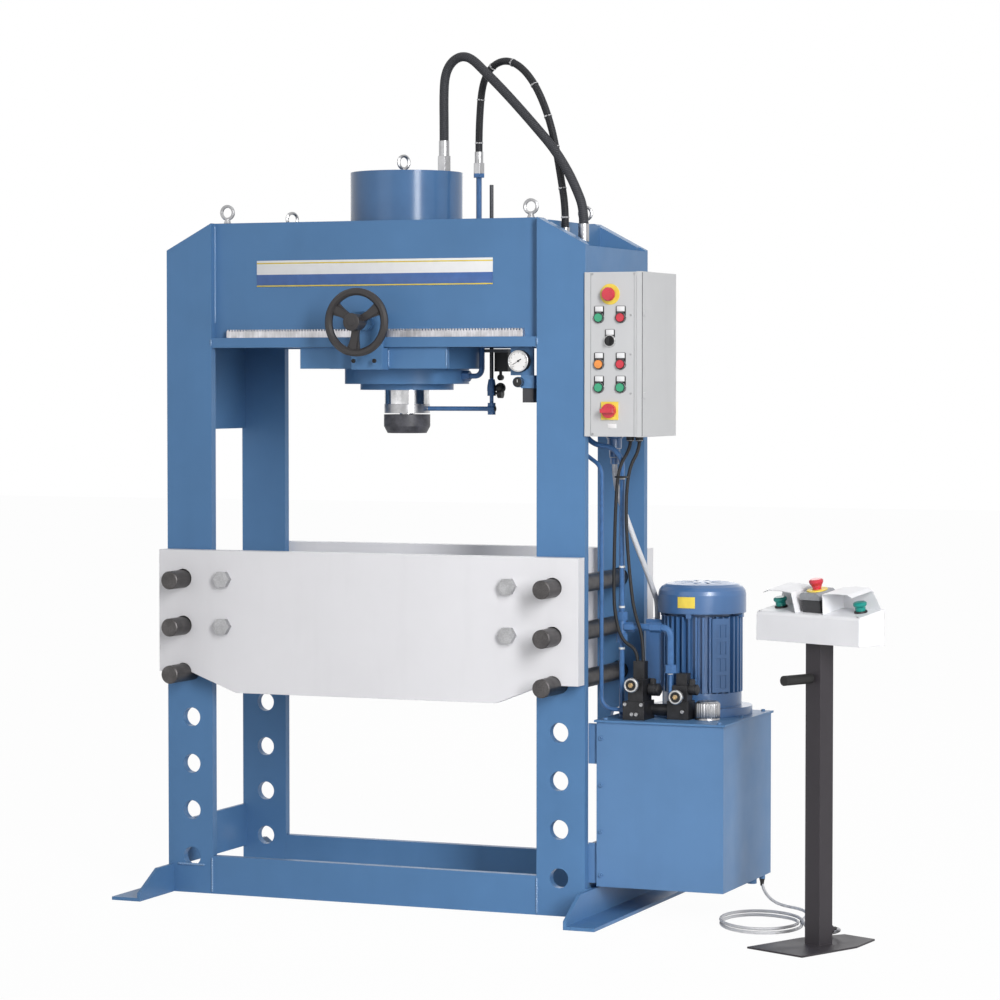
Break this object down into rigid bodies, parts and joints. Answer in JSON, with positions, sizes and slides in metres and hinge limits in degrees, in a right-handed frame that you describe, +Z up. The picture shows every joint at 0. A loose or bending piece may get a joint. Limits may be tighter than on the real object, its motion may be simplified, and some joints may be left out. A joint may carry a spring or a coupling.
{
  "type": "hydraulic press",
  "caption": "Portal-frame workshop press: a motor-driven hydraulic cylinder slides sideways above a pinned, height-adjustable table, with oil tank, control cabinet and two-hand control stand.",
  "frame": {"origin": "on the floor, under the middle of the front base beam", "axes": "+X to the right along the frame's width, +Y from the front portal to the rear portal, +Z up"},
  "size_m": [2.4097, 1.1631, 2.5623],
  "materials": {
    "frame_paint": "satin blue paint",
    "table_paint": "pale grey satin paint",
    "black_steel": "black oxide",
    "machine_paint": "satin blue paint",
    "bare_steel": "bare machined steel",
    "zinc": "bright zinc plate",
    "chrome_plate": "hard chrome",
    "wheel_iron": "black-grey enamel",
    "valve_black": "black phosphate",
    "cabinet_grey": "light grey texture paint",
    "stand_grey": "dark grey satin paint",
    "box_white": "pale grey paint",
    "gauge_case": "black with white dial",
    "plastic_black": "black moulding",
    "plastic_grey": "grey moulding",
    "button_green": "green lens",
    "button_red": "red lens",
    "button_orange": "orange lens",
    "palm_teal": "teal moulding",
    "hose_rubber": "black ribbed rubber",
    "cable_sheath": "pale grey sheath",
    "conduit_sheath": "white-grey conduit",
    "grip_rubber": "black grip"
  },
  "bodies": {
    "frame": {"uprights": "frame_paint", "crown_plates": "frame_paint", "carriage_rails": "frame_paint", "base_beams": "frame_paint", "side_plates": "frame_paint", "foot_angles": "frame_paint", "rack": "table_paint", "table_plates": "table_paint", "table_tie_bolts": "zinc", "table_pins": "black_steel", "lifting_eyes": "zinc", "gauge_bracket": "machine_paint", "pressure_gauge": "gauge_case", "tank": "machine_paint", "tank_lid": "machine_paint", "pump": "bare_steel", "motor_housing": "machine_paint", "motor_fan_cover": "machine_paint", "valve_blocks": "valve_black", "filler_cap": "chrome_plate", "oil_pipes": "machine_paint", "cabinet": "cabinet_grey", "switchgear": "plastic_grey", "stand_post": "stand_grey", "stand_grip": "grip_rubber", "stand_box": "box_white", "stand_guards": "box_white", "stand_stop_housing": "plastic_grey", "wide_hose": "hose_rubber", "slim_hose": "hose_rubber", "electrical_leads": "conduit_sheath", "stand_cable_coil": "cable_sheath", "stand_cable_run": "cable_sheath", "stand_cable_end": "cable_sheath"},
    "carriage": {"carriage_plate": "machine_paint", "cylinder_barrel": "machine_paint", "cylinder_gland": "machine_paint", "wheel_bracket": "machine_paint", "stroke_switch": "machine_paint", "cylinder_pipes": "zinc"},
    "ram": {"piston_rod": "chrome_plate", "press_head": "black_steel", "stroke_follower": "black_steel"},
    "wheel": {"handwheel": "wheel_iron", "pinion_shaft": "bare_steel"},
    "motor_rotor": {"motor_rotor": "bare_steel"},
    "cabinet_door": {"cabinet_door": "cabinet_grey"},
    "pump_start_button": {"pump_start_button": "button_green"},
    "pump_stop_button": {"pump_stop_button": "button_red"},
    "reset_button": {"reset_button": "button_orange"},
    "ram_stop_button": {"ram_stop_button": "button_red"},
    "ram_down_button": {"ram_down_button": "button_green"},
    "ram_up_button": {"ram_up_button": "button_green"},
    "mode_selector": {"mode_selector": "plastic_black"},
    "cabinet_stop": {"cabinet_stop": "button_red"},
    "main_switch": {"main_switch": "button_red"},
    "left_palm_button": {"left_palm_button": "palm_teal"},
    "right_palm_button": {"right_palm_button": "palm_teal"},
    "stand_stop": {"stand_stop": "button_red"}
  },
  "joints": [
    {"name": "carriage_slide", "type": "slide", "parent": "frame", "child": "carriage", "axis": [1, 0, 0], "range_m": [-0.19, 0.19], "deforming": ["wide_hose", "slim_hose"]},
    {"name": "handwheel_spin", "type": "hinge", "parent": "carriage", "child": "wheel", "pos_m": [0, -0.1, 1.745], "axis": [0, 1, 0], "range_deg": [-520, 520]},
    {"name": "ram_slide", "type": "slide", "parent": "carriage", "child": "ram", "axis": [0, 0, -1], "range_m": [0, 0.3]},
    {"name": "cabinet_door_hinge", "type": "hinge", "parent": "frame", "child": "cabinet_door", "pos_m": [0.8626, 0.28, 1.6485], "axis": [0, 0, 1], "range_deg": [0, 110]},
    {"name": "pump_start_button_press", "type": "slide", "parent": "frame", "child": "pump_start_button", "axis": [0, 1, 0], "range_m": [0, 0.004], "stiffness_N_per_m": 500, "springref_m": -0.004},
    {"name": "pump_stop_button_press", "type": "slide", "parent": "frame", "child": "pump_stop_button", "axis": [0, 1, 0], "range_m": [0, 0.004], "stiffness_N_per_m": 500, "springref_m": -0.004},
    {"name": "reset_button_press", "type": "slide", "parent": "frame", "child": "reset_button", "axis": [0, 1, 0], "range_m": [0, 0.004], "stiffness_N_per_m": 500, "springref_m": -0.004},
    {"name": "ram_stop_button_press", "type": "slide", "parent": "frame", "child": "ram_stop_button", "axis": [0, 1, 0], "range_m": [0, 0.004], "stiffness_N_per_m": 500, "springref_m": -0.004},
    {"name": "ram_down_button_press", "type": "slide", "parent": "frame", "child": "ram_down_button", "axis": [0, 1, 0], "range_m": [0, 0.004], "stiffness_N_per_m": 500, "springref_m": -0.004},
    {"name": "ram_up_button_press", "type": "slide", "parent": "frame", "child": "ram_up_button", "axis": [0, 1, 0], "range_m": [0, 0.004], "stiffness_N_per_m": 500, "springref_m": -0.004},
    {"name": "cabinet_stop_press", "type": "slide", "parent": "frame", "child": "cabinet_stop", "axis": [0, 1, 0], "range_m": [0, 0.004]},
    {"name": "mode_selector_turn", "type": "hinge", "parent": "frame", "child": "mode_selector", "pos_m": [0.764, -0.03, 1.6875], "axis": [0, 1, 0], "range_deg": [-45, 45]},
    {"name": "main_switch_turn", "type": "hinge", "parent": "frame", "child": "main_switch", "pos_m": [0.764, -0.03, 1.485], "axis": [0, 1, 0], "range_deg": [0, 90]},
    {"name": "left_palm_press", "type": "slide", "parent": "frame", "child": "left_palm_button", "axis": [0.0784, 0.168, -0.9827], "range_m": [0, 0.004], "stiffness_N_per_m": 500, "springref_m": -0.004},
    {"name": "right_palm_press", "type": "slide", "parent": "frame", "child": "right_palm_button", "axis": [0.0784, 0.168, -0.9827], "range_m": [0, 0.004], "stiffness_N_per_m": 500, "springref_m": -0.004},
    {"name": "stand_stop_press", "type": "slide", "parent": "frame", "child": "stand_stop", "axis": [0.0784, 0.168, -0.9827], "range_m": [0, 0.004]},
    {"name": "motor_spin", "type": "hinge", "parent": "frame", "child": "motor_rotor", "pos_m": [0.934, 0.316, 0.7], "axis": [0, 0, 1], "continuous": true}
  ],
  "couplings": [
    {"joint": "handwheel_spin", "follows": "carriage_slide", "rad_per_m": 47.619}
  ]
}
